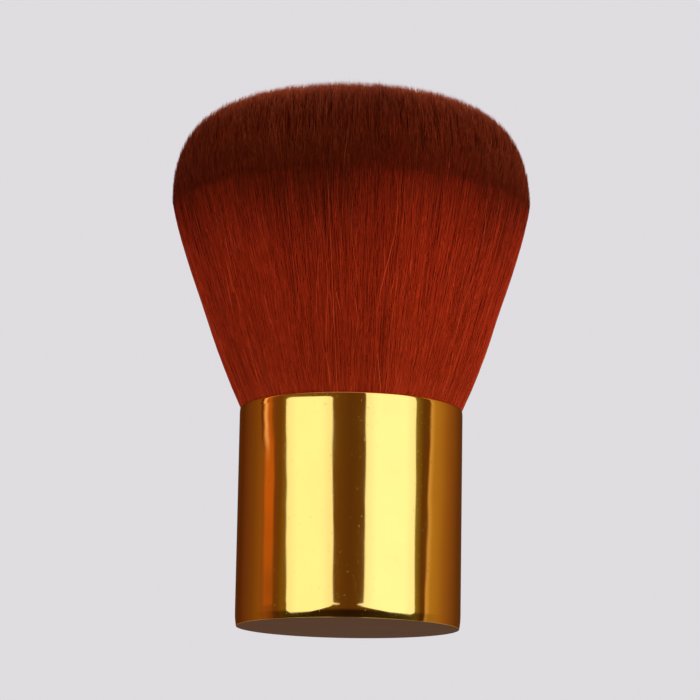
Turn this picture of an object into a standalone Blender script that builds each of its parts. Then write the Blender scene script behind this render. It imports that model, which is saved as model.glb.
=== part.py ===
"""A short foundation brush that stands on its metal ferrule, modelled as the pieces it comes apart into.

Metres, +Z up. The origin is the centre of the flat base that the brush stands on, and the bristles point up.
"""

import math

import bmesh
import bpy
from mathutils import Matrix

MM = 0.001

# Gap that neighbouring solids keep from each other, and how far a cutter runs past the face it opens.
CLEARANCE = 0.3 * MM
OVERRUN = 1.0 * MM

# Ferrule cup: one drawn metal cup, closed at the base, with a rounded lip.
CUP_DIAMETER = 32.0 * MM
CUP_HEIGHT = 31.3 * MM
CUP_WALL = 0.6 * MM
CUP_FLOOR = 0.8 * MM
CUP_CORNER_RADIUS = 0.8 * MM

# Weight slug in the base, and the adhesive disc that holds it down, set in from the slug's edge.
SLUG_THICKNESS = 6.0 * MM
SLUG_CHAMFER = 0.5 * MM
ADHESIVE_THICKNESS = 0.5 * MM
ADHESIVE_INSET = 1.5 * MM

# Spacer plug: plastic moulding that covers the slug and carries the hair cup on its ribs.
PLUG_POCKET_WALL = 2.3 * MM
PLUG_WEB = 2.0 * MM
PLUG_SKIRT = 1.6 * MM
PLUG_BOSS_DIAMETER = 8.0 * MM
PLUG_RIB_WIDTH = 1.8 * MM
PLUG_RIBS = 6

# Hair cup: plastic cup that the bundle is potted in, pushed down out of sight below the ferrule's lip.
HAIR_CUP_MOUTH_DEPTH = 4.0 * MM
HAIR_CUP_HEIGHT = 11.0 * MM
HAIR_CUP_FLOOR = 1.2 * MM
HAIR_CUP_WALL = 1.4 * MM
HAIR_CUP_CHAMFER = 0.6 * MM

# Potting: epoxy under the roots, the bonded slice that the strands grow from, and the thread round it.
GLUE_THICKNESS = 2.5 * MM
GLUE_EDGE_RADIUS = 0.6 * MM
ROOT_SLICE_THICKNESS = 2.0 * MM
BINDING_THICKNESS = 0.9 * MM
BINDING_HEIGHT = 1.8 * MM
BINDING_EDGE_RADIUS = 0.4 * MM

# Bristle head above the lip: it flares to a knee and to its widest level, then draws in under a flat dome.
KNEE_HEIGHT = 15.0 * MM
KNEE_RADIUS = 21.5 * MM
WIDEST_HEIGHT = 28.2 * MM
HEAD_RADIUS = 25.8 * MM
DOME_HEIGHT = 17.3 * MM
DOME_POWER = 3.1
CROWN_RADIUS = 23.0 * MM

# Strands stand in rings round a middle one, with STRANDS_PER_STEP more in each ring than in the last.
# A strand's size is its section's circumradius, as a share of the distance from ring to ring.
STRAND_RINGS = 10
STRANDS_PER_STEP = 6
STRAND_SIDES = 3
STRAND_SIZE_SHARE = 0.58
STRAND_SINK = 1.0 * MM
TIP_LENGTH = 5.0 * MM
TIP_STAGGER = 0.9 * MM

# Facets of round pieces, and of the quarter turns in their outlines.
CUP_SEGMENTS = 72
INNER_SEGMENTS = 48
ARC_STEPS = 3

GOLDEN_ANGLE = math.pi * (3.0 - math.sqrt(5.0))
MERGE_DISTANCE = 0.001 * MM
TIP_SEARCH_STEPS = 40
SMOOTH_ANGLE = math.radians(35.0)

# Radii of the ferrule cup, of what lines it and of what the lining holds.
cup_radius = CUP_DIAMETER / 2
bore_radius = cup_radius - CUP_WALL
inner_corner = max(CUP_CORNER_RADIUS - CUP_WALL, CLEARANCE)
lining_radius = bore_radius - CLEARANCE
pocket_radius = lining_radius - PLUG_POCKET_WALL
slug_radius = pocket_radius - CLEARANCE

# Heights of the pieces' faces, from the base upwards.
adhesive_bottom = CUP_FLOOR + CLEARANCE
slug_bottom = adhesive_bottom + ADHESIVE_THICKNESS + CLEARANCE
slug_top = slug_bottom + SLUG_THICKNESS
pocket_top = slug_top + CLEARANCE
mouth_height = CUP_HEIGHT - HAIR_CUP_MOUTH_DEPTH
hair_cup_bottom = mouth_height - HAIR_CUP_HEIGHT
plug_top = hair_cup_bottom - CLEARANCE
glue_bottom = hair_cup_bottom + HAIR_CUP_FLOOR + CLEARANCE
slice_bottom = glue_bottom + GLUE_THICKNESS + CLEARANCE
slice_top = slice_bottom + ROOT_SLICE_THICKNESS
knee_z = CUP_HEIGHT + KNEE_HEIGHT
widest_z = CUP_HEIGHT + WIDEST_HEIGHT
apex_z = widest_z + DOME_HEIGHT

# The roots are as wide as the way up past the lip allows, and never wider than what the hair cup holds.
lip_flare = (KNEE_RADIUS - lining_radius) / KNEE_HEIGHT
root_radius = min(
    lining_radius - lip_flare * (CUP_HEIGHT - slice_top),
    lining_radius - HAIR_CUP_WALL - CLEARANCE - BINDING_THICKNESS - CLEARANCE,
)
binding_bore = root_radius + CLEARANCE
binding_radius = binding_bore + BINDING_THICKNESS


def head_radius_at(z):
    """Radius that the outermost strands keep to at a height."""
    levels = (
        (slice_top, root_radius),
        (knee_z, KNEE_RADIUS),
        (widest_z, HEAD_RADIUS),
        (apex_z, CROWN_RADIUS),
    )
    for (low, low_radius), (high, high_radius) in zip(levels, levels[1:]):
        if z <= high:
            break
    return low_radius + (high_radius - low_radius) * (z - low) / (high - low)


def dome_radius_at(z):
    """Radius of the dome that the tips end on, a superellipse over the widest level."""
    rise = min(1.0, max(0.0, (z - widest_z) / DOME_HEIGHT))
    return HEAD_RADIUS * (1.0 - rise**DOME_POWER) ** (1.0 / DOME_POWER)


hair_bore = max(binding_radius, head_radius_at(mouth_height)) + CLEARANCE


def arc(centre, radius, start, end):
    """Points (r, z) of an arc, angles in degrees, both ends included."""
    turn = math.radians(end - start)
    steps = max(1, round(ARC_STEPS * abs(end - start) / 90.0))
    angles = [math.radians(start) + turn * i / steps for i in range(steps + 1)]
    return [(centre[0] + radius * math.cos(a), centre[1] + radius * math.sin(a)) for a in angles]


def finish(name, colour, roughness, metallic=0.0):
    """The plain material of one sub-part."""
    material = bpy.data.materials.new(name)
    material.use_nodes = True
    shader = material.node_tree.nodes["Principled BSDF"]
    shader.inputs["Base Color"].default_value = (*colour, 1.0)
    shader.inputs["Roughness"].default_value = roughness
    shader.inputs["Metallic"].default_value = metallic
    return material


def add_object(name, mesh_data, material=None):
    """Turns a bmesh into an object, smooth but for sharp edges. With no material it is a cutter or a guide."""
    bmesh.ops.recalc_face_normals(mesh_data, faces=mesh_data.faces)
    mesh = bpy.data.meshes.new(name)
    mesh_data.to_mesh(mesh)
    mesh_data.free()
    piece = bpy.data.objects.new(name, mesh)
    bpy.context.scene.collection.objects.link(piece)
    if material is None:
        piece.hide_render = True
        piece.display_type = "WIRE"
        return piece
    mesh.materials.append(material)
    mesh.shade_smooth()
    mesh.set_sharp_from_angle(angle=SMOOTH_ANGLE)
    return piece


def turned(outline, segments):
    """A bmesh turned about Z from (r, z) points. An outline that starts off the axis is closed."""
    shape = bmesh.new()
    points = [shape.verts.new((r, 0.0, z)) for r, z in outline]
    edges = [shape.edges.new(pair) for pair in zip(points, points[1:])]
    if outline[0][0] > 0.0:
        edges.append(shape.edges.new((points[-1], points[0])))
    bmesh.ops.spin(
        shape,
        geom=points + edges,
        cent=(0.0, 0.0, 0.0),
        axis=(0.0, 0.0, 1.0),
        angle=math.tau,
        steps=segments,
        use_merge=True,
    )
    bmesh.ops.remove_doubles(shape, verts=shape.verts, dist=MERGE_DISTANCE)
    return shape


def boolean(piece, other, operation):
    """Adds an exact Boolean of piece with a hidden other."""
    modifier = piece.modifiers.new(operation.title(), "BOOLEAN")
    modifier.operation = operation
    modifier.solver = "EXACT"
    modifier.object = other


def ferrule_cup():
    """The drawn cup: flat base, rounded corner, straight side and a rounded lip."""
    lip = CUP_WALL / 2
    outline = [(0.0, 0.0)]
    outline += arc((cup_radius - CUP_CORNER_RADIUS, CUP_CORNER_RADIUS), CUP_CORNER_RADIUS, -90, 0)
    outline += arc((cup_radius - lip, CUP_HEIGHT - lip), lip, 0, 180)
    outline += arc((bore_radius - inner_corner, CUP_FLOOR + inner_corner), inner_corner, 0, -90)
    outline += [(0.0, CUP_FLOOR)]
    gold = finish("gold_plated_aluminium", (0.95, 0.55, 0.12), 0.12, 1.0)
    add_object("ferrule_cup", turned(outline, CUP_SEGMENTS), gold)


def slug_adhesive():
    """Disc of hot glue between the cup's floor and the slug."""
    radius = slug_radius - ADHESIVE_INSET
    edge = ADHESIVE_THICKNESS / 2
    outline = [(0.0, adhesive_bottom)]
    outline += arc((radius - edge, adhesive_bottom + edge), edge, -90, 90)
    outline += [(0.0, adhesive_bottom + ADHESIVE_THICKNESS)]
    glue = finish("hot_glue", (0.78, 0.74, 0.62), 0.45)
    add_object("slug_adhesive", turned(outline, INNER_SEGMENTS), glue)


def weight_slug():
    """Steel disc that keeps the head-heavy brush upright."""
    outline = [
        (0.0, slug_bottom),
        (slug_radius - SLUG_CHAMFER, slug_bottom),
        (slug_radius, slug_bottom + SLUG_CHAMFER),
        (slug_radius, slug_top - SLUG_CHAMFER),
        (slug_radius - SLUG_CHAMFER, slug_top),
        (0.0, slug_top),
    ]
    steel = finish("steel", (0.45, 0.45, 0.46), 0.35, 1.0)
    add_object("weight_slug", turned(outline, INNER_SEGMENTS), steel)


def rib_gap_cutter(bottom, inner, outer):
    """The openings between the plug's radial ribs, as one cutter of annular sectors."""
    shape = bmesh.new()
    top = plug_top + OVERRUN
    for rib in range(PLUG_RIBS):
        middle = math.tau * (rib + 0.5) / PLUG_RIBS
        half = math.pi / PLUG_RIBS
        steps = 2 * ARC_STEPS
        rim = []
        for radius, order in ((inner, 1), (outer, -1)):
            reach = half - math.asin(PLUG_RIB_WIDTH / 2 / radius)
            turns = [order * reach * (2.0 * i / steps - 1.0) for i in range(steps + 1)]
            rim += [(radius * math.cos(middle + t), radius * math.sin(middle + t)) for t in turns]
        base = shape.faces.new([shape.verts.new((x, y, bottom)) for x, y in rim])
        grown = bmesh.ops.extrude_face_region(shape, geom=[base])["geom"]
        raised = [item for item in grown if isinstance(item, bmesh.types.BMVert)]
        bmesh.ops.translate(shape, verts=raised, vec=(0.0, 0.0, top - bottom))
    return add_object("plug_gap_cutter", shape)


def spacer_plug():
    """Plug with a pocket for the slug underneath and ribs above it, which the hair cup stands on."""
    # The chamfer clears the rounded corner inside the ferrule cup.
    chamfer = inner_corner - CLEARANCE / 2
    outline = [
        (0.0, pocket_top),
        (pocket_radius, pocket_top),
        (pocket_radius, adhesive_bottom),
        (lining_radius - chamfer, adhesive_bottom),
        (lining_radius, adhesive_bottom + chamfer),
        (lining_radius, plug_top),
        (0.0, plug_top),
    ]
    shape = turned(outline, INNER_SEGMENTS)
    plastic = finish("moulded_plastic", (0.80, 0.79, 0.76), 0.5)
    plug = add_object("spacer_plug", shape, plastic)
    cutter = rib_gap_cutter(
        pocket_top + PLUG_WEB, PLUG_BOSS_DIAMETER / 2, lining_radius - PLUG_SKIRT
    )
    boolean(plug, cutter, "DIFFERENCE")


def hair_cup():
    """Cup with a plain bore that just clears the bound bundle."""
    floor_top = hair_cup_bottom + HAIR_CUP_FLOOR
    outline = [
        (0.0, hair_cup_bottom),
        (lining_radius - HAIR_CUP_CHAMFER, hair_cup_bottom),
        (lining_radius, hair_cup_bottom + HAIR_CUP_CHAMFER),
        (lining_radius, mouth_height),
        (hair_bore, mouth_height),
        (hair_bore, floor_top),
        (0.0, floor_top),
    ]
    plastic = finish("black_plastic", (0.03, 0.03, 0.03), 0.45)
    add_object("hair_cup", turned(outline, INNER_SEGMENTS), plastic)


def glue_plug():
    """Epoxy puck that bonds the roots to the hair cup's floor."""
    radius = hair_bore - CLEARANCE
    edge = GLUE_EDGE_RADIUS
    outline = [(0.0, glue_bottom)]
    outline += arc((radius - edge, glue_bottom + edge), edge, -90, 0)
    outline += arc((radius - edge, glue_bottom + GLUE_THICKNESS - edge), edge, 0, 90)
    outline += [(0.0, glue_bottom + GLUE_THICKNESS)]
    epoxy = finish("epoxy", (0.62, 0.45, 0.20), 0.25)
    add_object("glue_plug", turned(outline, INNER_SEGMENTS), epoxy)


def root_binding():
    """Band of thread wound round the bonded roots."""
    middle = slice_bottom + ROOT_SLICE_THICKNESS / 2
    low = middle - BINDING_HEIGHT / 2
    high = middle + BINDING_HEIGHT / 2
    edge = BINDING_EDGE_RADIUS
    outline = [(binding_bore, low)]
    outline += arc((binding_radius - edge, low + edge), edge, -90, 0)
    outline += arc((binding_radius - edge, high - edge), edge, 0, 90)
    outline += [(binding_bore, high)]
    thread = finish("binding_thread", (0.70, 0.66, 0.58), 0.9)
    add_object("root_binding", turned(outline, INNER_SEGMENTS), thread)


def tip_height(share):
    """Height at which a strand this share of the way out from the axis meets the dome."""
    low, high = widest_z, apex_z
    for _ in range(TIP_SEARCH_STEPS):
        middle = (low + high) / 2
        inside = share * head_radius_at(middle) < dome_radius_at(middle)
        low, high = (middle, high) if inside else (low, middle)
    return low


def strand_seats():
    """Each strand's place as (ring, angle), ring by ring from the middle one outwards."""
    seats = [(0, math.pi / STRANDS_PER_STEP + GOLDEN_ANGLE * (STRAND_RINGS - 1))]
    for ring in range(1, STRAND_RINGS + 1):
        # The outermost ring starts on the X axis, so that the head is as wide to each side.
        start = GOLDEN_ANGLE * (STRAND_RINGS - ring)
        count = STRANDS_PER_STEP * ring
        seats += [(ring, start + math.tau * place / count) for place in range(count)]
    return seats


def add_strand(shape, ring, angle, stagger):
    """One tapered strand. Its level sections grow with the head, so it crosses no other."""
    half_side = math.pi / STRAND_SIDES
    flat_face = STRAND_RINGS + STRAND_SIZE_SHARE * math.cos(half_side)
    reach = math.hypot(flat_face, STRAND_SIZE_SHARE * math.sin(half_side))
    tip = tip_height(ring / reach) - stagger
    taper_start = max(tip - TIP_LENGTH, (widest_z + tip) / 2)
    levels = []
    for z in (slice_top - STRAND_SINK, knee_z, widest_z, taper_start):
        spacing = head_radius_at(z) / reach
        corners = []
        for side in range(STRAND_SIDES):
            turn = angle + math.pi + math.tau * side / STRAND_SIDES
            x = ring * math.cos(angle) + STRAND_SIZE_SHARE * math.cos(turn)
            y = ring * math.sin(angle) + STRAND_SIZE_SHARE * math.sin(turn)
            corners.append(shape.verts.new((x * spacing, y * spacing, z)))
        levels.append(corners)
    out = ring / reach * head_radius_at(tip)
    end = shape.verts.new((out * math.cos(angle), out * math.sin(angle), tip))
    shape.faces.new(reversed(levels[0]))
    for side in range(STRAND_SIDES):
        follow = (side + 1) % STRAND_SIDES
        for low, high in zip(levels, levels[1:]):
            shape.faces.new((low[side], low[follow], high[follow], high[side]))
        shape.faces.new((levels[-1][side], levels[-1][follow], end))


def bristle_bundle():
    """The bonded slice of roots with every strand fused to it."""
    strands = bmesh.new()
    for number, (ring, angle) in enumerate(strand_seats()):
        # The outermost tips stay in line, and the others end unevenly a little below the dome.
        stagger = TIP_STAGGER * (number * GOLDEN_ANGLE % 1.0) if ring < STRAND_RINGS else 0.0
        add_strand(strands, ring, angle, stagger)
    guide = add_object("strand_guide", strands)
    root_slice = bmesh.new()
    bmesh.ops.create_cone(
        root_slice,
        cap_ends=True,
        segments=INNER_SEGMENTS,
        radius1=root_radius,
        radius2=root_radius,
        depth=ROOT_SLICE_THICKNESS,
        matrix=Matrix.Translation((0.0, 0.0, (slice_bottom + slice_top) / 2)),
    )
    fibre = finish("dyed_fibre", (0.28, 0.030, 0.008), 0.55)
    bundle = add_object("bristle_bundle", root_slice, fibre)
    boolean(bundle, guide, "UNION")


def main():
    for old in list(bpy.data.objects):
        bpy.data.objects.remove(old)
    ferrule_cup()
    slug_adhesive()
    weight_slug()
    spacer_plug()
    hair_cup()
    glue_plug()
    root_binding()
    bristle_bundle()


main()
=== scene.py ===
"""Looks of the foundation brush: polished gold ferrule and a dense head of fine dyed fibres.

Metres, in the CAD's frame: the brush stands on its base at the origin, bristles up. The photograph shows it
from a little below the base's plane, so the main camera looks slightly up at it.
"""

import math

import bmesh
import bpy
import numpy as np
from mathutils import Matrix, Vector

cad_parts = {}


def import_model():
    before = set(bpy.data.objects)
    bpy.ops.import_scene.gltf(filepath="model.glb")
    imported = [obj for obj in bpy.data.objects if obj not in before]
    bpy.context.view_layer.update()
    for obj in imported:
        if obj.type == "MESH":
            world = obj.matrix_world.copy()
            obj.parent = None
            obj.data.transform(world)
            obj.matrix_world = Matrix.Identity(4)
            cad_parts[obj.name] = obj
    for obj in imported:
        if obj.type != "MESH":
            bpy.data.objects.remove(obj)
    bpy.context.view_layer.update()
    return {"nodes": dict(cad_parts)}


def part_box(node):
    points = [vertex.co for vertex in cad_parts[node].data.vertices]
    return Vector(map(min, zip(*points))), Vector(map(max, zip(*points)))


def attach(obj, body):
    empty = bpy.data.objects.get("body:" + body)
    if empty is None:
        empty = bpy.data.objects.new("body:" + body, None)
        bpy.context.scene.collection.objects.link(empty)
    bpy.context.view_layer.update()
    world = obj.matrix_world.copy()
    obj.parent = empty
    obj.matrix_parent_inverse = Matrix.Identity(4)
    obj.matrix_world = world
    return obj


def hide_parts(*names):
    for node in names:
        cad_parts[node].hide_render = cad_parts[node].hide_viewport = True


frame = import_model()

MM = 0.001

# Camera: how far it stands from the axis, how far below the base's plane and how far aside, its roll, its
# lens, and the nearest and furthest that it sees.
CAMERA_DISTANCE = 400.0 * MM
CAMERA_DROP = 37.0 * MM
CAMERA_ASIDE = -0.33 * MM
CAMERA_ROLL = math.radians(1.0)
LENS_MM = 145.1
SENSOR_MM = 36.0
CLIP_NEAR = 0.02
CLIP_FAR = 50.0

# Photograph: its size, and the row that the centre of the brush's base falls on.
FRAME_PIXELS = 700.0
BASE_PIXEL = 628.2

# Ferrule, with the CAD's outer size. Its mouth and its foot turn in a little, by arcs that run on from each
# other: each has its radius and the angle that it turns to, in degrees. The cup's floor ends FLOOR_GAP below
# the adhesive disc. SUPPORT is how far from a curve's end the rings lie that keep the flat faces flat.
MOUTH_ARCS = ((8.0 * MM, 5.2), (0.29 * MM, 180.0))
FOOT_ARCS = ((22.0 * MM, 1.7), (7.3 * MM, 6.85), (18.0 * MM, 9.5), (0.03 * MM, 90.0))
INNER_CORNER_RADIUS = 0.5 * MM
FLOOR_GAP = 0.3 * MM
SUPPORT = 0.12 * MM
CUP_SEGMENTS = 288
ARC_STEPS = 10

# Gold plating: noise scales per metre of its pits, the waves of its drawing and its smudges, and how high the
# bumps of the first two are.
PIT_SCALE = 2800.0
PIT_HEIGHT = 0.02 * MM
WAVE_SCALE = 110.0
WAVE_HEIGHT = 0.08 * MM
SMUDGE_SCALE = 160.0

# Head: radius of its outline at heights above the lip, and the dome that the tips end on. From LEAN_START up
# it leans aside by LEAN of its height, to the picture's left, and its tips rise by DOME_TILT to the right.
HEAD_OUTLINE = (
    (-4.5 * MM, 13.4 * MM),
    (-0.7 * MM, 14.9 * MM),
    (0.0 * MM, 15.45 * MM),
    (0.4 * MM, 16.05 * MM),
    (1.2 * MM, 16.45 * MM),
    (4.0 * MM, 17.62 * MM),
    (9.0 * MM, 19.55 * MM),
    (15.0 * MM, 21.55 * MM),
    (21.0 * MM, 23.6 * MM),
    (26.0 * MM, 25.1 * MM),
    (30.0 * MM, 26.05 * MM),
    (36.0 * MM, 26.8 * MM),
    (48.0 * MM, 24.0 * MM),
)
DOME_BASE = 28.4 * MM
DOME_RADIUS = 26.2 * MM
DOME_HEIGHT = 16.85 * MM
DOME_RISE_POWER = 2.9
DOME_CROWN_POWER = 4.1
DOME_HALVINGS = 40
LEAN = -0.019
LEAN_START = 2.0 * MM
DOME_TILT = 0.006

# Packed core: the bonded slice of roots at its foot, where above the lip its side starts, its levels, and its
# size as shares of the head's radius and of the dome's heights. Its last level lies on the axis. Its streaks
# have a noise scale per metre and a bump height.
ROOT_SLICE_RADIUS = 11.2 * MM
ROOT_SLICE_THICKNESS = 2.0 * MM
CORE_START = -4.5 * MM
CORE_LEVELS = 40
CORE_SHARE = 0.92
CORE_DOME_SHARE = 0.97
CORE_CROWN_SHARE = 0.93
CORE_SEGMENTS = 96
CORE_STREAK_SCALE = 2500.0
CORE_STREAK_HEIGHT = 0.1 * MM

# Fibres: how many, in how many pieces and rings each, where they lie and start, how wide they are, how far
# they sway aside, and the fewest and most half waves along one. The tips scatter about the dome, and those of
# the dome's fibres end TIP_SINK of that scatter below it.
FIBRE_SEED = 11
SHAFT_FIBRES = 16800
SHAFT_PIECES = 7
SHAFT_RINGS = 14
SHAFT_START = -3.2 * MM
SHAFT_DEPTH_SHARE = 0.042
SHAFT_DEPTH_POWER = 1.2
SHAFT_RADIUS = 0.052 * MM
SHAFT_SWAY = 0.42 * MM
SHAFT_WAVES = (1.5, 4.0)
DOME_FIBRES = 45000
DOME_PIECES = 6
DOME_RINGS = 4
DOME_REACH = 0.985
DOME_FIBRE_LENGTH = 8.0 * MM
DOME_FIBRE_RADIUS = 0.062 * MM
DOME_SWAY = 0.28 * MM
DOME_WAVES = (1.0, 2.2)
TIP_SCATTER = 0.22 * MM
TIP_SINK = 0.8

# Form of one fibre: how its rings crowd towards the tip, how its thickness differs and tapers, and how deep
# it dips under the head's outline as it sways, which sets in over DIP_RUN from DIP_START above the lip.
# Nearer the axis than LEAST_TURN_RADIUS a shift aside turns it no further.
FIBRE_SIDES = 3
RING_POWER = 0.85
THICKNESS_SPREAD = (0.75, 1.25)
TAPER = 0.75
TAPER_START = 0.55
TAPER_RUN = 0.45
TAPER_POWER = 1.5
DIP_SHARE = 0.5
DIP_PACE = 1.7
DIP_START = -1.0 * MM
DIP_RUN = 2.0 * MM
LEAST_TURN_RADIUS = 4.0 * MM

# Locks that fibres gather in: how many side by side and over each other, and how far they lean aside, lie
# deeper, differ in shade and took the dark dye higher or lower.
LOCK_SEED = 5
LOCKS = 130
LOCK_LAYERS = 3
LOCK_LEAN = 0.35 * MM
LOCK_DEPTH = 0.07 * MM
LOCK_SHADE = 0.06
LOCK_DYE = 1.4 * MM

# Height above the lip at which the dark dye begins, and its dips and peaks round the head: each is
# (angle from the camera's side in degrees, to the right; half width in degrees; height).
DYE_HEIGHT = 29.6 * MM
DYE_SCATTER = 2.8 * MM
DYE_SWAYS = (
    (-15.0, 21.0, -3.9 * MM),
    (12.0, 8.0, 3.8 * MM),
    (36.0, 7.0, 1.6 * MM),
    (62.0, 16.0, -1.5 * MM),
    (-72.0, 12.0, -1.0 * MM),
    (118.0, 30.0, 2.0 * MM),
    (-100.0, 25.0, 1.2 * MM),
    (-155.0, 20.0, -2.2 * MM),
    (170.0, 14.0, 1.6 * MM),
)

# Shade of the fibres, from 0 to 1: its usual level and spread, and the few pale ones, which are painted
# highlights. Its changes round the head are each (angle from the camera's side, half width in degrees; change
# of shade). On the camera's side they are painted light and shade, darkest near the middle between the two
# lamps' highlights; further round they are locks whose dye took darker or lighter.
SHADE_LEVEL = 0.47
SHADE_SCATTER = 0.09
SHADE_LIMITS = (0.02, 0.98)
PAINTED_HIGHLIGHT_SHARE = 0.05
PAINTED_HIGHLIGHT_SHADE = 0.95
TONE_AND_PAINTED_LIGHT_SWAYS = (
    (-13.0, 6.5, -0.27),
    (-1.0, 8.0, -0.08),
    (12.0, 5.0, -0.17),
    (28.0, 7.0, 0.11),
    (36.0, 10.0, 0.06),
    (62.0, 10.0, -0.07),
    (-62.0, 14.0, -0.05),
    (86.0, 10.0, -0.06),
    (127.0, 13.0, 0.07),
    (-112.0, 11.0, 0.08),
    (-150.0, 9.0, -0.07),
    (172.0, 10.0, 0.06),
)

# Bake map of the fibres. U is the fibre's shade, its tone with the painted light and shade set above, a
# column further from side to side. V runs from 0 at the lip to MAP_EDGE at the dye's edge, over MAP_TIP_ZONE
# more towards the tip, and is MAP_TIP at the tip itself. The zone between them counts as at least
# TIP_ZONE_LEAST long.
# Streaks, which set painted highlights in the colour and change the roughness, lie MAP_STREAKS times across
# the map.
BAKE_MAP = "OFBake"
MAP_COLUMN = 1.0 / 256.0
MAP_EDGE = 0.6
MAP_TIP_ZONE = 0.35
MAP_TIP = 0.995
MAP_STREAKS = (230.0, 12.0, 1.0)
TIP_ZONE_LEAST = 3.0 * MM

# Mirrored studio, by directions in degrees: azimuth to the right of the camera's side, and elevation. The
# ferrule's wall mirrors elevations from WALL_LOW at its foot to WALL_HIGH at its lip.
STUDIO_RADIUS = 6.0
STUDIO_SEGMENTS = 64
WALL_LOW = 5.5
WALL_HIGH = 10.1
WALL_MIDDLE = (WALL_LOW + WALL_HIGH) / 2
WALL_COLOURS = (
    (-180.0, (0.098, 0.092, 0.095)),
    (-160.0, (0.09, 0.045, 0.028)),
    (-145.6, (0.0865, 0.0374, 0.022)),
    (-128.5, (0.147, 0.0574, 0.028)),
    (-115.4, (0.178, 0.077, 0.0135)),
    (-103.5, (0.246, 0.102, 0.0185)),
    (-96.0, (0.246, 0.094, 0.0185)),
    (-82.0, (0.16, 0.06, 0.012)),
    (-76.0, (0.15, 0.062, 0.0105)),
    (-70.5, (0.19, 0.115, 0.009)),
    (-17.0, (0.15, 0.078, 0.0105)),
    (-8.0, (0.122, 0.056, 0.0105)),
    (0.0, (0.105, 0.046, 0.0105)),
    (10.0, (0.118, 0.056, 0.0105)),
    (71.0, (0.23, 0.185, 0.024)),
    (75.5, (0.17, 0.115, 0.018)),
    (79.5, (0.115, 0.051, 0.009)),
    (87.4, (0.125, 0.052, 0.009)),
    (89.6, (0.66, 0.44, 0.17)),
    (92.6, (0.53, 0.34, 0.105)),
    (95.5, (0.43, 0.262, 0.045)),
    (105.5, (0.375, 0.21, 0.0385)),
    (116.6, (0.292, 0.1395, 0.03)),
    (130.0, (0.209, 0.1016, 0.0375)),
    (148.6, (0.127, 0.0682, 0.0515)),
    (165.0, (0.10, 0.07, 0.06)),
    (180.0, (0.098, 0.092, 0.095)),
)
GLOW_COLOUR = (0.52, 0.145, 0.0155, 1.0)
NOTCH_COLOUR = (0.13, 0.032, 0.004, 1.0)
STRIP_COLOUR = (0.94, 0.54, 0.30, 1.0)
LEFT_BOX_COLOUR = (1.20, 1.45, 1.35, 1.0)
RIGHT_BOX_COLOUR = (1.25, 1.52, 1.52, 1.0)
CEILING_COLOUR = (1.0, 0.62, 0.75, 1.0)
BACK_PANEL_COLOUR = (0.72, 0.68, 0.52, 1.0)
TABLE_COLOUR = (0.26, 0.22, 0.19, 1.0)
TABLE_PANEL_COLOUR = (1.05, 1.10, 1.0, 1.0)
TABLE_PANELS = ((-68.0, -17.0), (16.0, 70.0), (128.0, 172.0), (-160.0, -126.0))
TABLE_PANEL_EDGE = 8.0

# Softboxes as the curved metal shows them, in degrees: the radius of their corners, the width of their soft
# edge, how far in from their sides they reach full light, and the light at the sides. At the top, heights
# count BOX_TOP_STRETCH times. Below BOX_FOOT the ferrule's foot squeezes them: over shares of the way up to
# it their lower corners round off, and the inner one runs out to a point, BOX_POINT wide at its foot.
BOX_FOOT = WALL_LOW - 0.2
BOX_CORNER = 6.0
BOX_EDGE = 1.2
BOX_FALLOFF = 14.0
BOX_EDGE_LIGHT = 0.84
BOX_TOP_STRETCH = 1.5
BOX_FOOT_SHARE = 0.45
BOX_POINT = 10.0
BOX_POINT_SHARE = 0.85
BOX_SIDE_POWER = 1.4

# Stage: the floor near the brush, the background that it runs out into, from how far to how far off, and the
# ambient light.
FLOOR_COLOUR = (0.80, 0.78, 0.80, 1.0)
BACKGROUND_COLOUR = (0.74, 0.72, 0.75, 1.0)
AMBIENT_COLOUR = (0.27, 0.27, 0.28, 1.0)
FLOOR_HALF = 6.0
FLOOR_DROP = 0.2 * MM
FLOOR_FADE = (0.06, 0.30)

# Lamps, at one distance round a point on the brush's axis: (name, azimuth in degrees to the right of the
# camera's side, width, height, rise above that point, strength).
LAMP_DISTANCE = 0.6
LAMP_TARGET = (0.0, 0.0, 0.04)
LAMPS = (
    ("lamp_right", 51.0, 1.5, 1.3, 0.0, 1.55),
    ("lamp_left", -48.0, 0.58, 1.3, 0.0, 1.25),
    ("lamp_back", 138.0, 1.4, 0.8, 0.42, 2.0),
    ("lamp_behind", -140.0, 1.2, 1.0, 0.05, 0.85),
)

lip_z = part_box("ferrule_cup")[1][2]
cup_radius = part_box("ferrule_cup")[1][0]
root_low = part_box("bristle_bundle")[0][2]


def smooth_curve(points, at):
    """Values of a smooth curve through (place, value) points, at an array of places."""
    places, values = (np.array(column) for column in zip(*points))
    slopes = np.gradient(values, places)
    index = np.clip(np.searchsorted(places, at) - 1, 0, len(places) - 2)
    span = places[index + 1] - places[index]
    t = np.clip((at - places[index]) / span, 0.0, 1.0)
    start = (2 * t**3 - 3 * t**2 + 1) * values[index] + (t**3 - 2 * t**2 + t) * span * slopes[index]
    end = (3 * t**2 - 2 * t**3) * values[index + 1] + (t**3 - t**2) * span * slopes[index + 1]
    return start + end


def head_radius(height):
    """Radius of the head's outline at heights above the lip, run on over the dome."""
    return smooth_curve(HEAD_OUTLINE, height)


def dome_radius(height):
    """Radius of the dome at heights above the lip."""
    rise = np.clip((height - DOME_BASE) / DOME_HEIGHT, 0.0, 1.0)
    return DOME_RADIUS * (1.0 - rise**DOME_RISE_POWER) ** (1.0 / DOME_CROWN_POWER)


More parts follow.
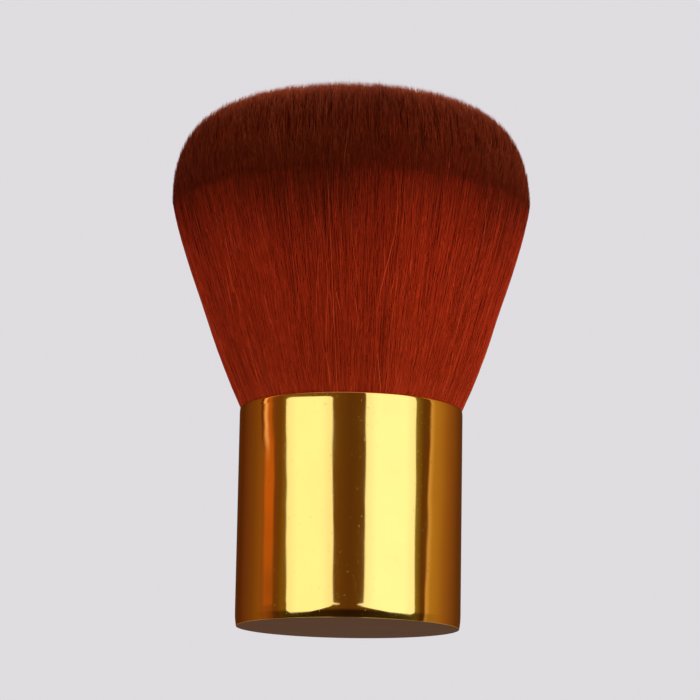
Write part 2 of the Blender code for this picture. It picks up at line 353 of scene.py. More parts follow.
def tip_heights(share):
    """Heights above the lip at which fibres these shares of the way out meet the dome."""
    low = np.full_like(share, DOME_BASE)
    high = np.full_like(share, DOME_BASE + DOME_HEIGHT)
    for _ in range(DOME_HALVINGS):
        middle = (low + high) / 2
        inside = share * head_radius(middle) < dome_radius(middle)
        low = np.where(inside, middle, low)
        high = np.where(inside, high, middle)
    return low


def new_material(name):
    """A node material, its node tree and its Principled shader."""
    material = bpy.data.materials.new(name)
    material.use_nodes = True
    tree = material.node_tree
    return material, tree, tree.nodes["Principled BSDF"]


def node(tree, kind, *links, **settings):
    """A node with its settings. Each link is (input, value or the socket that feeds it)."""
    made = tree.nodes.new(kind)
    for key, value in settings.items():
        setattr(made, key, value)
    for name, value in links:
        if isinstance(value, bpy.types.NodeSocket):
            tree.links.new(value, made.inputs[name])
        else:
            made.inputs[name].default_value = value
    return made


def math_node(tree, operation, *values):
    """The output of a maths node on values or sockets."""
    made = node(tree, "ShaderNodeMath", *enumerate(values), operation=operation)
    return made.outputs["Value"]


def remap(tree, value, low, high, to_low=0.0, to_high=1.0, smooth=False):
    """A socket's value taken from one range to another, and kept inside it."""
    made = node(
        tree,
        "ShaderNodeMapRange",
        ("Value", value),
        ("From Min", low),
        ("From Max", high),
        ("To Min", to_low),
        ("To Max", to_high),
        interpolation_type="SMOOTHSTEP" if smooth else "LINEAR",
    )
    return made.outputs["Result"]


def ramp(tree, factor, stops):
    """The colour output of a colour ramp with stops of (position, colour)."""
    made = node(tree, "ShaderNodeValToRGB", ("Fac", factor))
    elements = made.color_ramp.elements
    while len(elements) < len(stops):
        elements.new(1.0)
    for element, (position, colour) in zip(elements, stops):
        element.position = position
        element.color = (*colour, 1.0)
    return made.outputs["Color"]


def noise(tree, place, scale, detail=2.0):
    """The value of a noise texture."""
    made = node(tree, "ShaderNodeTexNoise", ("Vector", place), ("Scale", scale), ("Detail", detail))
    return made.outputs["Fac"]


def bump(tree, height, strength, distance, *links):
    """The normal of a bump node."""
    made = node(
        tree, "ShaderNodeBump", ("Height", height), ("Strength", strength), ("Distance", distance), *links
    )
    return made.outputs["Normal"]


def scaled(tree, colour, factor):
    """A colour multiplied by a value."""
    made = node(tree, "ShaderNodeVectorMath", (0, colour), ("Scale", factor), operation="SCALE")
    return made.outputs["Vector"]


def mixed(tree, factor, first, second):
    """A blend of two colours."""
    made = node(
        tree, "ShaderNodeMix", ("Factor", factor), (6, first), (7, second), data_type="RGBA"
    )
    return made.outputs[2]


def add_piece(name, mesh, material, slot, *replaced):
    """Adds a piece of the brush, which rides on its one body."""
    mesh.materials.append(material)
    mesh.shade_smooth()
    piece = bpy.data.objects.new(name, mesh)
    bpy.context.scene.collection.objects.link(piece)
    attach(piece, "root")
    if replaced:
        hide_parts(*replaced)


def turned_mesh(name, outline, segments):
    """A mesh turned about Z from an outline of (r, z) points that starts and ends on the axis."""
    shape = bmesh.new()
    points = [shape.verts.new((r, 0.0, z)) for r, z in outline]
    edges = [shape.edges.new(pair) for pair in zip(points, points[1:])]
    bmesh.ops.spin(
        shape,
        geom=points + edges,
        cent=(0.0, 0.0, 0.0),
        axis=(0.0, 0.0, 1.0),
        angle=math.tau,
        steps=segments,
        use_merge=True,
    )
    bmesh.ops.remove_doubles(shape, verts=shape.verts, dist=0.001 * MM)
    bmesh.ops.recalc_face_normals(shape, faces=shape.faces)
    mesh = bpy.data.meshes.new(name)
    shape.to_mesh(mesh)
    shape.free()
    return mesh


def curled(arcs, way):
    """Points (r, z) of arcs that turn in from the ferrule's wall, upwards (way 1) or downwards (way -1).

    Their far end is at height 0, so they are moved up to where they belong.
    """
    r, z, turned = cup_radius, 0.0, 0.0
    points = [(r, z)]
    for radius, turn in arcs:
        middle = (r - radius * math.cos(turned), z - way * radius * math.sin(turned))
        angles = [turned + (math.radians(turn) - turned) * (i + 1) / ARC_STEPS for i in range(ARC_STEPS)]
        points += [(middle[0] + radius * math.cos(a), middle[1] + way * radius * math.sin(a)) for a in angles]
        (r, z), turned = points[-1], math.radians(turn)
    furthest = max(way * point[1] for point in points) * way
    return [(point[0], point[1] - furthest) for point in points]


def gold_material():
    """Polished gold plating: faint waves of the drawing, smudges and a few pits."""
    material, tree, shader = new_material("gold_plating")
    place = node(tree, "ShaderNodeTexCoord").outputs["Object"]
    pits = remap(tree, noise(tree, place, PIT_SCALE), 0.71, 0.77)
    wavy = bump(tree, noise(tree, place, WAVE_SCALE, 1.0), 1.0, WAVE_HEIGHT)
    pitted = bump(tree, pits, 0.35, PIT_HEIGHT, ("Normal", wavy))
    smudge = noise(tree, place, SMUDGE_SCALE, 4.0)
    tint = ramp(tree, smudge, ((0.3, (1.0, 0.605, 0.19)), (0.7, (1.0, 0.63, 0.20))))
    tree.links.new(tint, shader.inputs["Base Color"])
    tree.links.new(remap(tree, smudge, 0.3, 0.7, 0.05, 0.08), shader.inputs["Roughness"])
    tree.links.new(pitted, shader.inputs["Normal"])
    shader.inputs["Metallic"].default_value = 1.0
    shader.inputs["Specular Tint"].default_value = (0.95, 0.55, 0.25, 1.0)
    return material


def ferrule():
    """The polished cup over the CAD's: its mouth turns in to a round lip, its foot to the flat base."""
    foot = curled(FOOT_ARCS, -1)[::-1]
    mouth = [(r, z + lip_z) for r, z in curled(MOUTH_ARCS, 1)]
    bore, bore_top = mouth[-1]
    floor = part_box("slug_adhesive")[0][2] - FLOOR_GAP
    inner = INNER_CORNER_RADIUS
    angles = [math.pi / 2 * i / ARC_STEPS for i in range(ARC_STEPS + 1)]
    outline = [(0.0, 0.0), (foot[0][0] - SUPPORT, 0.0)] + foot
    outline += [(cup_radius, foot[-1][1] + SUPPORT), (cup_radius, mouth[0][1] - SUPPORT)] + mouth
    outline += [(bore, bore_top - SUPPORT), (bore, floor + inner + SUPPORT)]
    outline += [(bore - inner + inner * math.cos(a), floor + inner - inner * math.sin(a)) for a in angles]
    outline += [(0.0, floor)]
    mesh = turned_mesh("ferrule", outline, CUP_SEGMENTS)
    add_piece("ferrule", mesh, gold_material(), "gold_plated_aluminium", "ferrule_cup")


def fibre_material():
    """Dyed fibre, coloured by its bake map: U gives the fibre's shade, V the dye from lip to tip. Painted
    light is
    in it too: painted highlights on the pale fibres and in streaks, painted shade across the camera's side,
    and a lighter orange at the tips, painted for light shining through them.
    """
    material, tree, shader = new_material("dyed_fibre")
    place = node(tree, "ShaderNodeUVMap", uv_map=BAKE_MAP).outputs["UV"]
    axes = node(tree, "ShaderNodeSeparateXYZ", ("Vector", place)).outputs
    # Along V: red from the lip, dark dye from its edge, and at the very tips a lighter orange that is painted
    # light shining through them.
    colour = ramp(
        tree,
        axes["Y"],
        (
            (0.0, (0.315, 0.0215, 0.0042)),
            (0.20, (0.325, 0.0205, 0.0042)),
            (0.42, (0.315, 0.0192, 0.0043)),
            (0.58, (0.225, 0.0150, 0.0036)),
            (0.68, (0.130, 0.0110, 0.0022)),
            (0.93, (0.132, 0.0120, 0.0022)),
            (0.965, (0.28, 0.035, 0.0085)),
            (1.0, (0.68, 0.138, 0.035)),
        ),
    )
    # Along U: the fibre's tone; above 0.9, the pale fibres, whose colour is a painted highlight.
    tone_and_painted_light = ramp(
        tree,
        axes["X"],
        (
            (0.0, (0.68, 0.66, 0.66)),
            (0.5, (1.0, 1.0, 1.0)),
            (0.90, (1.24, 1.24, 1.24)),
            (0.95, (1.42, 2.0, 2.2)),
            (1.0, (1.60, 2.8, 3.4)),
        ),
    )
    shaded = node(tree, "ShaderNodeVectorMath", (0, colour), (1, tone_and_painted_light), operation="MULTIPLY")
    stretched = node(tree, "ShaderNodeMapping", ("Vector", place), ("Scale", MAP_STREAKS))
    streaks = noise(tree, stretched.outputs["Vector"], 1.0, 1.0)
    # Painted highlights along the fibres: lighter, paler streaks multiplied into the colour.
    painted_glints = ramp(
        tree,
        streaks,
        (
            (0.28, (0.86, 0.78, 0.74)),
            (0.5, (0.99, 0.97, 0.97)),
            (0.62, (1.07, 1.18, 1.28)),
            (0.74, (1.20, 1.50, 1.72)),
        ),
    )
    streaked = node(
        tree, "ShaderNodeVectorMath", (0, shaded.outputs["Vector"]), (1, painted_glints), operation="MULTIPLY"
    )
    tree.links.new(streaked.outputs["Vector"], shader.inputs["Base Color"])
    tree.links.new(remap(tree, streaks, 0.3, 0.7, 0.45, 0.30), shader.inputs["Roughness"])
    shader.inputs["Specular IOR Level"].default_value = 0.06
    shader.inputs["Specular Tint"].default_value = (1.0, 0.42, 0.24, 1.0)
    return material


def front_degrees(angle):
    """Angle round the axis from the main camera's side, positive to the picture's right, in degrees."""
    return (np.degrees(angle) + 90.0 + 180.0) % 360.0 - 180.0


def swayed(angle, level, sways):
    """A level with its local changes round the head."""
    value = np.full_like(angle, level)
    for middle, width, change in sways:
        away = (front_degrees(angle) - middle + 180.0) % 360.0 - 180.0
        value += change * np.exp(-((away / width) ** 2))
    return value


def fibre_mesh(name, rng, share, angle, start, tip, rings, radius, sway, waves):
    """Mesh of three-sided fibres along the head's flow lines, each ending in a point, with the bake map."""
    count = len(share)
    run = np.linspace(0.0, 1.0, rings + 1) ** RING_POWER
    tip = tip + DOME_TILT * share * DOME_RADIUS * np.cos(angle)
    height = start[:, None] + (tip - start)[:, None] * run
    turns = rng.uniform(*waves, (count, 1))
    phase = rng.uniform(0.0, math.tau, (count, 1))
    aside = sway * rng.normal(size=(count, 1)) * np.sin(math.pi * turns * run + phase)
    layer = rng.integers(0, LOCK_LAYERS, count)
    lock = layer * LOCKS + np.floor(angle / math.tau * LOCKS + layer / LOCK_LAYERS).astype(int) % LOCKS
    lock_traits = np.random.default_rng(LOCK_SEED).normal(size=(4, LOCK_LAYERS * LOCKS))
    lean_aside, deeper, lock_shade, lock_dye = lock_traits[:, lock]
    aside += LOCK_LEAN * lean_aside[:, None] * run
    depth = DIP_SHARE * sway * np.abs(rng.normal(size=(count, 1)))
    dip = depth * (1.0 - np.cos(DIP_PACE * math.pi * turns * run + phase)) / 2
    dip += LOCK_DEPTH * np.abs(deeper[:, None])
    out = share[:, None] * head_radius(height) - dip * np.clip((height - DIP_START) / DIP_RUN, 0.0, 1.0)
    turn = angle[:, None] + aside / np.maximum(out, LEAST_TURN_RADIUS)
    lean = LEAN * np.maximum(height - LEAN_START, 0.0)
    centre = np.stack([out * np.cos(turn) + lean, out * np.sin(turn), lip_z + height], axis=2)
    slim = 1.0 - TAPER * np.clip((run - TAPER_START) / TAPER_RUN, 0.0, 1.0) ** TAPER_POWER
    thick = radius * rng.uniform(*THICKNESS_SPREAD, (count, 1)) * slim
    roll = rng.uniform(0, math.tau, (count, 1))
    body = []
    for side in range(FIBRE_SIDES):
        around = roll + math.tau * side / FIBRE_SIDES
        offset = np.stack([thick * np.cos(around), thick * np.sin(around), np.zeros_like(thick)], axis=2)
        body.append(centre[:, :-1] + offset[:, :-1])
    body = np.stack(body, axis=2).reshape(count, rings * FIBRE_SIDES, 3)
    places = np.concatenate([body, centre[:, -1:]], axis=1)

    edge = swayed(angle, DYE_HEIGHT, DYE_SWAYS) + LOCK_DYE * lock_dye + DYE_SCATTER * rng.normal(size=count)
    below = np.clip(height / edge[:, None], 0.0, 1.0)
    tip_zone = np.maximum(tip - edge, TIP_ZONE_LEAST)
    above = np.clip((height - edge[:, None]) / tip_zone[:, None], 0.0, 1.0)
    along = MAP_EDGE * below + MAP_TIP_ZONE * above
    along[:, -1] = MAP_TIP
    # The fibre's shade: its tone and its lock's, with painted light and shade on the camera's side, and for
    # the few pale fibres a painted highlight.
    shade = swayed(angle, SHADE_LEVEL, TONE_AND_PAINTED_LIGHT_SWAYS) + LOCK_SHADE * lock_shade
    shade += SHADE_SCATTER * rng.normal(size=count)
    tone_and_painted_light = np.where(rng.uniform(0, 1, count) < PAINTED_HIGHLIGHT_SHARE, PAINTED_HIGHLIGHT_SHADE, shade)
    tone_and_painted_light = np.clip(tone_and_painted_light, SHADE_LIMITS[0], SHADE_LIMITS[1] - FIBRE_SIDES * MAP_COLUMN)
    columns = tone_and_painted_light[:, None] + MAP_COLUMN * np.arange(FIBRE_SIDES)
    map_u = np.concatenate([np.tile(columns, (1, rings)), tone_and_painted_light[:, None] + MAP_COLUMN], axis=1)
    map_v = np.concatenate([np.repeat(along[:, :-1], FIBRE_SIDES, axis=1), along[:, -1:]], axis=1)
    vertex_map = np.stack([map_u, map_v], axis=2).reshape(-1, 2)

    per_fibre = rings * FIBRE_SIDES + 1
    side = np.arange(FIBRE_SIDES)
    follow = (side + 1) % FIBRE_SIDES
    ring = FIBRE_SIDES * np.arange(rings - 1)[:, None]
    above_ring = ring + FIBRE_SIDES
    quads = np.stack([ring + side, ring + follow, above_ring + follow, above_ring + side], axis=2)
    quads = quads.reshape(-1, 4)
    last = FIBRE_SIDES * (rings - 1)
    ends = np.stack([last + side, last + follow, np.full(FIBRE_SIDES, per_fibre - 1)], axis=1)
    caps = np.array([side[::-1]])
    first = per_fibre * np.arange(count)[:, None, None]
    quads = (first + quads).reshape(-1, 4)
    corners = (first + np.concatenate([ends, caps])).reshape(-1, 3)

    mesh = bpy.data.meshes.new(name)
    mesh.from_pydata(places.reshape(-1, 3), [], quads.tolist() + corners.tolist())
    layer = mesh.uv_layers.new(name=BAKE_MAP)
    loops = np.concatenate([quads.ravel(), corners.ravel()])
    layer.uv.foreach_set("vector", vertex_map[loops].astype(np.float32).ravel())
    return mesh


def add_fibres(name, pieces, material, rng, share, start, tip, *shape):
    """Adds fibres at random angles, shared out over several pieces."""
    angle = rng.uniform(0, math.tau, len(share))
    for number in range(pieces):
        part = slice(number, None, pieces)
        course = (share[part], angle[part], start[part], tip[part])
        mesh = fibre_mesh(f"{name}_{number + 1}", rng, *course, *shape)
        add_piece(mesh.name, mesh, material, "dyed_fibre", "bristle_bundle")


def head_fibres(material):
    """Long fibres of the head's outer layers, and the shorter ends that make up the dome."""
    rng = np.random.default_rng(FIBRE_SEED)
    share = 1.0 - SHAFT_DEPTH_SHARE * rng.uniform(0, 1, SHAFT_FIBRES) ** SHAFT_DEPTH_POWER
    tip = tip_heights(share) - TIP_SCATTER * np.abs(rng.normal(size=SHAFT_FIBRES))
    start = np.full(SHAFT_FIBRES, SHAFT_START)
    shape = (SHAFT_RINGS, SHAFT_RADIUS, SHAFT_SWAY, SHAFT_WAVES)
    add_fibres("shaft_fibres", SHAFT_PIECES, material, rng, share, start, tip, *shape)
    share = np.sqrt(rng.uniform(0, 1, DOME_FIBRES)) * DOME_REACH
    tip = tip_heights(share) + TIP_SCATTER * (rng.normal(size=DOME_FIBRES) - TIP_SINK)
    start = tip - DOME_FIBRE_LENGTH
    shape = (DOME_RINGS, DOME_FIBRE_RADIUS, DOME_SWAY, DOME_WAVES)
    add_fibres("dome_fibres", DOME_PIECES, material, rng, share, start, tip, *shape)


def core_material():
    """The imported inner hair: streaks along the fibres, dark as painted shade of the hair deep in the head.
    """
    material, tree, shader = new_material("packed_fibre_in_painted_shade")
    place = node(tree, "ShaderNodeTexCoord").outputs["Object"]
    stretched = node(tree, "ShaderNodeMapping", ("Vector", place), ("Scale", (1.0, 1.0, 0.04)))
    streaks = noise(tree, stretched.outputs["Vector"], CORE_STREAK_SCALE)
    # The dark colours are painted shade: the inner hair lies in the outer fibres' shadow.
    colour = ramp(tree, streaks, ((0.35, (0.06, 0.005, 0.002)), (0.65, (0.14, 0.012, 0.004))))
    tree.links.new(colour, shader.inputs["Base Color"])
    tree.links.new(bump(tree, streaks, 0.8, CORE_STREAK_HEIGHT), shader.inputs["Normal"])
    shader.inputs["Roughness"].default_value = 0.7
    shader.inputs["Specular IOR Level"].default_value = 0.1
    return material


def head_core():
    """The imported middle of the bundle, from the bonded slice of roots to just under the dome's tips."""
    heights = np.linspace(CORE_START, DOME_BASE + CORE_CROWN_SHARE * DOME_HEIGHT, CORE_LEVELS)
    dome_radii = dome_radius(heights / CORE_DOME_SHARE)
    radii = np.minimum(CORE_SHARE * head_radius(heights), CORE_SHARE * dome_radii)
    outline = [(0.0, root_low), (ROOT_SLICE_RADIUS, root_low)]
    outline += [(ROOT_SLICE_RADIUS, root_low + ROOT_SLICE_THICKNESS)]
    outline += [(float(r), float(lip_z + h)) for h, r in zip(heights, radii)]
    mesh = turned_mesh("head_core", outline, CORE_SEGMENTS)
    add_piece("head_core", mesh, core_material(), "dyed_fibre", "bristle_bundle")


def inner_material(name, dark, light, roughness, metallic=0.0, scale=400.0):
    """A plain moulded, cast or turned finish with slight mottling, for the pieces inside."""
    material, tree, shader = new_material(name)
    place = node(tree, "ShaderNodeTexCoord").outputs["Object"]
    mottle = noise(tree, place, scale, 3.0)
    spread = remap(tree, mottle, 0.0, 1.0, roughness * 0.8, min(1.0, roughness * 1.2))
    tree.links.new(ramp(tree, mottle, ((0.3, dark), (0.7, light))), shader.inputs["Base Color"])
    tree.links.new(spread, shader.inputs["Roughness"])
    tree.links.new(bump(tree, mottle, 0.2, 0.05 * MM), shader.inputs["Normal"])
    shader.inputs["Metallic"].default_value = metallic
    return material


def dress_inner_nodes():
    """Finishes for the CAD nodes that stay inside the ferrule."""
    finishes = {
        "slug_adhesive": ("hot_glue", (0.70, 0.66, 0.53), (0.80, 0.77, 0.66), 0.45),
        "weight_slug": ("steel", (0.38, 0.38, 0.39), (0.50, 0.50, 0.51), 0.35, 1.0, 900.0),
        "spacer_plug": ("moulded_plastic", (0.76, 0.75, 0.72), (0.82, 0.81, 0.78), 0.5),
        "hair_cup": ("black_plastic", (0.025, 0.025, 0.025), (0.04, 0.04, 0.04), 0.45),
        "glue_plug": ("epoxy", (0.56, 0.39, 0.16), (0.66, 0.49, 0.23), 0.25),
        "root_binding": ("binding_thread", (0.60, 0.56, 0.48), (0.76, 0.72, 0.64), 0.85, 0.0, 2000.0),
    }
    for name, finish in finishes.items():
        slots = frame["nodes"][name].data.materials
        slots.clear()
        slots.append(inner_material(*finish))


def floor_material():
    """Matt pale floor near the brush, which runs out into the background's colour, seen from above only."""
    material, tree, shader = new_material("floor")
    shader.inputs["Base Color"].default_value = FLOOR_COLOUR
    shader.inputs["Roughness"].default_value = 0.9
    shader.inputs["Specular IOR Level"].default_value = 0.1
    place = node(tree, "ShaderNodeTexCoord").outputs["Object"]
    away = node(tree, "ShaderNodeVectorMath", (0, place), operation="LENGTH").outputs["Value"]
    far = node(tree, "ShaderNodeEmission", ("Color", BACKGROUND_COLOUR))
    blend = node(
        tree,
        "ShaderNodeMixShader",
        ("Fac", remap(tree, away, *FLOOR_FADE, smooth=True)),
        (1, shader.outputs["BSDF"]),
        (2, far.outputs["Emission"]),
    )
    clear = node(tree, "ShaderNodeBsdfTransparent")
    mix = node(
        tree,
        "ShaderNodeMixShader",
        ("Fac", node(tree, "ShaderNodeNewGeometry").outputs["Backfacing"]),
        (1, blend.outputs["Shader"]),
        (2, clear.outputs["BSDF"]),
    )
    tree.links.new(mix.outputs["Shader"], tree.nodes["Material Output"].inputs["Surface"])
    return material


def stage_floor():
    """A floor that only the camera sees, so that it hides no light and tints nothing."""
    corners = [(x * FLOOR_HALF, y * FLOOR_HALF, 0.0) for x, y in ((-1, -1), (1, -1), (1, 1), (-1, 1))]
    mesh = bpy.data.meshes.new("floor")
    mesh.from_pydata(corners, [], [(0, 1, 2, 3)])
    mesh.materials.append(floor_material())
    floor = bpy.data.objects.new("floor", mesh)
    floor.location = (0.0, 0.0, -FLOOR_DROP)
    for ray in ("diffuse", "glossy", "transmission", "volume_scatter", "shadow"):
        setattr(floor, f"visible_{ray}", False)
    bpy.context.scene.collection.objects.link(floor)


def window(tree, value, low, high, soft):
    """One between two levels of a value and zero outside them, with soft edges."""
    rising = remap(tree, value, low - soft / 2, low + soft / 2, smooth=True)
    falling = remap(tree, value, high - soft / 2, high + soft / 2, 1.0, 0.0, smooth=True)
    return math_node(tree, "MULTIPLY", rising, falling)


def sloped(tree, value, middle, level, slope):
    """A level that changes by a slope as a value moves away from a middle."""
    return math_node(tree, "MULTIPLY_ADD", value, slope, level - slope * middle)


def softbox_mask(tree, azimuth, elevation, left, right, top, bottom, inner_right):
    """How much of a softbox is seen in a direction, from the sockets of its four edges in degrees.

    Its corners are round as the curved metal shows them, apart from the lower inner one, which runs out to a
    point. The light falls off a little towards its sides.
    """
    from_left = math_node(tree, "SUBTRACT", azimuth, left)
    from_right = math_node(tree, "SUBTRACT", right, azimuth)
    from_top = math_node(tree, "MULTIPLY", math_node(tree, "SUBTRACT", top, elevation), BOX_TOP_STRETCH)
    above = math_node(tree, "SUBTRACT", elevation, bottom)
    whole = math_node(tree, "SUBTRACT", BOX_FOOT, bottom)
    share = math_node(tree, "DIVIDE", above, whole)
    from_bottom = math_node(tree, "MULTIPLY", share, BOX_CORNER / BOX_FOOT_SHARE)
    point = remap(tree, share, 0.0, BOX_POINT_SHARE, BOX_POINT, 0.0)
    from_side = math_node(tree, "MINIMUM", from_left, from_right)
    centre = remap(tree, from_side, 0.0, BOX_FALLOFF, BOX_EDGE_LIGHT, 1.0, smooth=True)
    if inner_right:
        from_right = math_node(tree, "ADD", from_right, point)
    else:
        from_left = math_node(tree, "ADD", from_left, point)
    across = math_node(tree, "MINIMUM", from_left, from_right)
    along = math_node(tree, "MINIMUM", from_top, from_bottom)
    short = [
        math_node(tree, "MAXIMUM", math_node(tree, "SUBTRACT", BOX_CORNER, distance), 0.0)
        for distance in (across, along)
    ]
    squares = [math_node(tree, "MULTIPLY", value, value) for value in short]
    missing = math_node(tree, "SQRT", math_node(tree, "ADD", *squares))
    inside = math_node(tree, "SUBTRACT", BOX_CORNER, missing)
    seen = remap(tree, inside, -BOX_EDGE / 2, BOX_EDGE / 2, smooth=True)
    return math_node(tree, "MULTIPLY", seen, centre)


def studio_directions(tree):
    """Azimuth and elevation of a point on the studio's sphere, in degrees."""
    place = node(tree, "ShaderNodeTexCoord").outputs["Object"]
    axes = node(tree, "ShaderNodeSeparateXYZ", ("Vector", place)).outputs
    ahead = math_node(tree, "MULTIPLY", axes["Y"], -1.0)
    turn = math_node(tree, "ARCTAN2", axes["X"], ahead)
    squares = [math_node(tree, "MULTIPLY", axes[name], axes[name]) for name in ("X", "Y")]
    flat = math_node(tree, "SQRT", math_node(tree, "ADD", *squares))
    rise = math_node(tree, "ARCTAN2", axes["Z"], flat)
    return [math_node(tree, "MULTIPLY", angle, 180.0 / math.pi) for angle in (turn, rise)]


def painted_walls(tree, azimuth, elevation, height):
    """The walls' colours round the studio: they lean at the right, and are dim below the level in front."""
    lean = math_node(
        tree,
        "MULTIPLY",
        sloped(tree, height, WALL_MIDDLE, 1.1, -1.5),
        remap(tree, azimuth, 74.0, 84.0, smooth=True),
    )
    position = remap(tree, math_node(tree, "ADD", azimuth, lean), -180.0, 180.0)
    colour = ramp(tree, position, [(0.5 + angle / 360.0, shade) for angle, shade in WALL_COLOURS])
    aside = math_node(tree, "ABSOLUTE", azimuth)
    deepest = remap(tree, aside, 50.0, 115.0, 0.19, 1.0, smooth=True)
    depth = remap(tree, elevation, -10.5, 1.0, smooth=True)
    return scaled(tree, colour, math_node(tree, "MAXIMUM", deepest, depth))


def with_left_lights(tree, azimuth, elevation, height, under):
    """A colour with the left wall's lights over it: a low glow, and above it a strip by a dark notch."""
    slant = math_node(
        tree,
        "MAXIMUM",
        sloped(tree, height, WALL_MIDDLE, 0.0, 0.45),
        sloped(tree, height, 9.0, 0.0, 4.8),
    )
    slanted = math_node(tree, "ADD", azimuth, slant)
    low_rise = math_node(
        tree,
        "MULTIPLY",
        remap(tree, elevation, 4.3, 8.3, 0.15, 1.0),
        remap(tree, elevation, 9.1, 9.6, 1.0, 0.75),
    )
    high_rise = remap(tree, elevation, 8.95, 9.2, smooth=True)
    steep = math_node(tree, "ADD", azimuth, sloped(tree, height, 9.4, -3.4, 7.0))
    lights = (
        (window(tree, slanted, -97.0, -84.0, 4.0), low_rise, GLOW_COLOUR),
        (window(tree, steep, -105.5, -98.5, 1.5), high_rise, NOTCH_COLOUR),
        (window(tree, steep, -100.4, -95.2, 0.8), high_rise, STRIP_COLOUR),
    )
    for across, along, colour in lights:
        under = mixed(tree, math_node(tree, "MULTIPLY", across, along), under, colour)
    return under


def with_softboxes(tree, azimuth, elevation, height, under):
    """A colour with the two softboxes over it, whose feet rise towards their inner sides."""
    left_rise = math_node(tree, "POWER", remap(tree, azimuth, -38.0, -16.0), BOX_SIDE_POWER)
    right_rise = math_node(tree, "POWER", remap(tree, azimuth, 45.0, 12.0), BOX_SIDE_POWER)
    left_box = softbox_mask(
        tree,
        azimuth,
        elevation,
        sloped(tree, height, WALL_MIDDLE, -67.2, -1.15),
        sloped(tree, height, WALL_MIDDLE, -17.1, -0.78),
        sloped(tree, azimuth, -17.0, 14.4, 0.0),
        sloped(tree, left_rise, 0.0, -7.0, 10.5),
        True,
    )
    right_box = softbox_mask(
        tree,
        azimuth,
        elevation,
        sloped(tree, height, WALL_MIDDLE, 15.6, -0.2),
        sloped(tree, height, WALL_MIDDLE, 70.2, 0.0),
        sloped(tree, azimuth, 16.0, 45.0, 0.0),
        sloped(tree, right_rise, 0.0, -6.4, 9.4),
        False,
    )
    with_left = mixed(tree, left_box, under, LEFT_BOX_COLOUR)
    return mixed(tree, right_box, with_left, RIGHT_BOX_COLOUR)


def with_ceiling_and_back(tree, azimuth, elevation, under):
    """A colour with the ceiling over it, and with the two low panels at the back."""
    overhead = remap(tree, elevation, 44.0, 60.0, 0.0, 0.8, smooth=True)
    with_top = mixed(tree, overhead, under, CEILING_COLOUR)
    aside = math_node(tree, "ABSOLUTE", azimuth)
    behind = math_node(
        tree,
        "MULTIPLY",
        window(tree, aside, 142.0, 168.0, 5.0),
        remap(tree, elevation, -4.0, -1.5, 1.0, 0.0, smooth=True),
    )
    return mixed(tree, behind, with_top, BACK_PANEL_COLOUR)


def with_table(tree, azimuth, elevation, under):
    """A colour with the table over it, which shows pale panels and is dim straight below."""
    table = remap(tree, elevation, -26.0, -12.0, 1.0, 0.0, smooth=True)
    panels = 0.0
    for low, high in TABLE_PANELS:
        panels = math_node(tree, "MAXIMUM", panels, window(tree, azimuth, low, high, TABLE_PANEL_EDGE))
    near = remap(tree, elevation, -70.0, -38.0, 0.2, 1.0, smooth=True)
    colour = scaled(tree, mixed(tree, panels, TABLE_COLOUR, TABLE_PANEL_COLOUR), near)
    return mixed(tree, table, under, colour)


def studio_walls():
    """Dim warm studio that the polished metal mirrors, on a sphere that only mirrored rays see."""
    material = bpy.data.materials.new("studio_walls")
    material.use_nodes = True
    tree = material.node_tree
    tree.nodes.clear()
    azimuth, elevation = studio_directions(tree)
    height = remap(tree, elevation, WALL_LOW, WALL_HIGH, WALL_LOW, WALL_HIGH)
    colour = painted_walls(tree, azimuth, elevation, height)
    colour = with_left_lights(tree, azimuth, elevation, height, colour)
    colour = with_softboxes(tree, azimuth, elevation, height, colour)
    colour = with_ceiling_and_back(tree, azimuth, elevation, colour)
    colour = with_table(tree, azimuth, elevation, colour)
    light = node(tree, "ShaderNodeEmission", ("Color", colour), ("Strength", 1.0))
    node(tree, "ShaderNodeOutputMaterial", ("Surface", light.outputs["Emission"]))
    ball = bmesh.new()
    rings = STUDIO_SEGMENTS // 2
    bmesh.ops.create_uvsphere(ball, u_segments=STUDIO_SEGMENTS, v_segments=rings, radius=STUDIO_RADIUS)
    mesh = bpy.data.meshes.new("studio_walls")
    ball.to_mesh(mesh)
    ball.free()
    mesh.materials.append(material)
    walls_object = bpy.data.objects.new("studio_walls", mesh)
    for ray in ("camera", "diffuse", "transmission", "volume_scatter", "shadow"):
        setattr(walls_object, f"visible_{ray}", False)
    bpy.context.scene.collection.objects.link(walls_object)


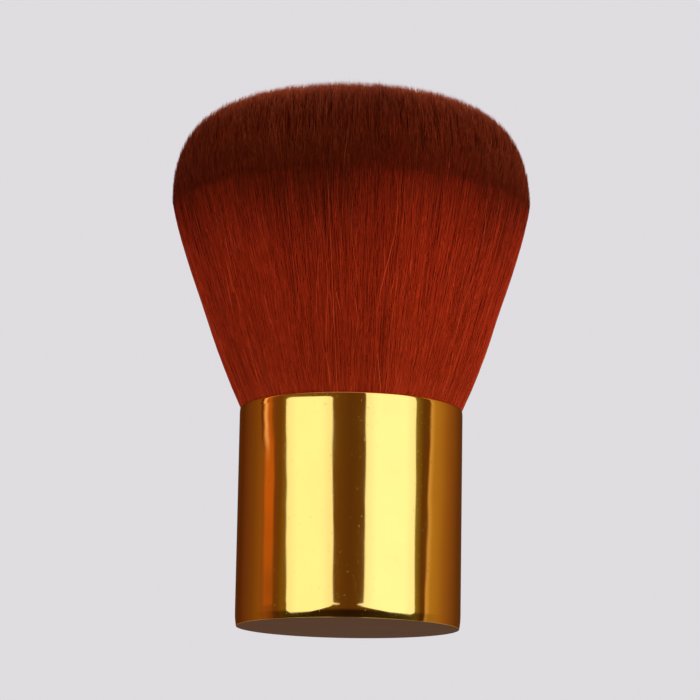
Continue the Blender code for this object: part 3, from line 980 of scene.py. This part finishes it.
def lamp(name, azimuth, width, height, rise, strength):
    """A rectangular lamp that faces the brush, and that no mirrored ray sees."""
    light = bpy.data.lights.new(name, "AREA")
    light.shape = "RECTANGLE"
    light.size = width
    light.size_y = height
    light.energy = strength * width * height * math.pi
    holder = bpy.data.objects.new(name, light)
    turn = math.radians(azimuth)
    spot = Vector((LAMP_DISTANCE * math.sin(turn), -LAMP_DISTANCE * math.cos(turn), rise))
    holder.location = Vector(LAMP_TARGET) + spot
    holder.rotation_euler = spot.to_track_quat("Z", "Y").to_euler()
    holder.visible_camera = False
    holder.visible_glossy = False
    bpy.context.scene.collection.objects.link(holder)


def world():
    """Soft ambient light, with a pale backdrop for the camera and for mirrored and seen-through rays."""
    made = bpy.data.worlds.new("studio")
    bpy.context.scene.world = made
    made.use_nodes = True
    tree = made.node_tree
    rays = node(tree, "ShaderNodeLightPath").outputs
    seen = math_node(tree, "MAXIMUM", rays["Is Camera Ray"], rays["Is Glossy Ray"])
    clear = math_node(tree, "MAXIMUM", seen, rays["Is Transmission Ray"])
    colour = mixed(tree, clear, AMBIENT_COLOUR, BACKGROUND_COLOUR)
    tree.links.new(colour, tree.nodes["Background"].inputs["Color"])


def camera():
    """The photograph's view: a camera below the level of the brush's base, looking up a little."""
    data = bpy.data.cameras.new("main")
    data.lens = LENS_MM
    data.sensor_width = SENSOR_MM
    data.clip_start = CLIP_NEAR
    data.clip_end = CLIP_FAR
    below_middle = (BASE_PIXEL / FRAME_PIXELS - 0.5) * SENSOR_MM / LENS_MM
    pitch = math.atan2(CAMERA_DROP, CAMERA_DISTANCE) + math.atan(below_middle)
    viewer = bpy.data.objects.new("main", data)
    viewer.location = (CAMERA_ASIDE, -CAMERA_DISTANCE, -CAMERA_DROP)
    viewer.rotation_euler = (math.pi / 2 + pitch, 0.0, 0.0)
    viewer.rotation_euler.rotate_axis("Z", CAMERA_ROLL)
    bpy.context.scene.collection.objects.link(viewer)
    bpy.context.scene.camera = viewer


ferrule()
head_core()
head_fibres(fibre_material())
dress_inner_nodes()
stage_floor()
studio_walls()
for lamp_row in LAMPS:
    lamp(*lamp_row)
world()
camera()
bpy.context.scene.view_settings.view_transform = "Standard"
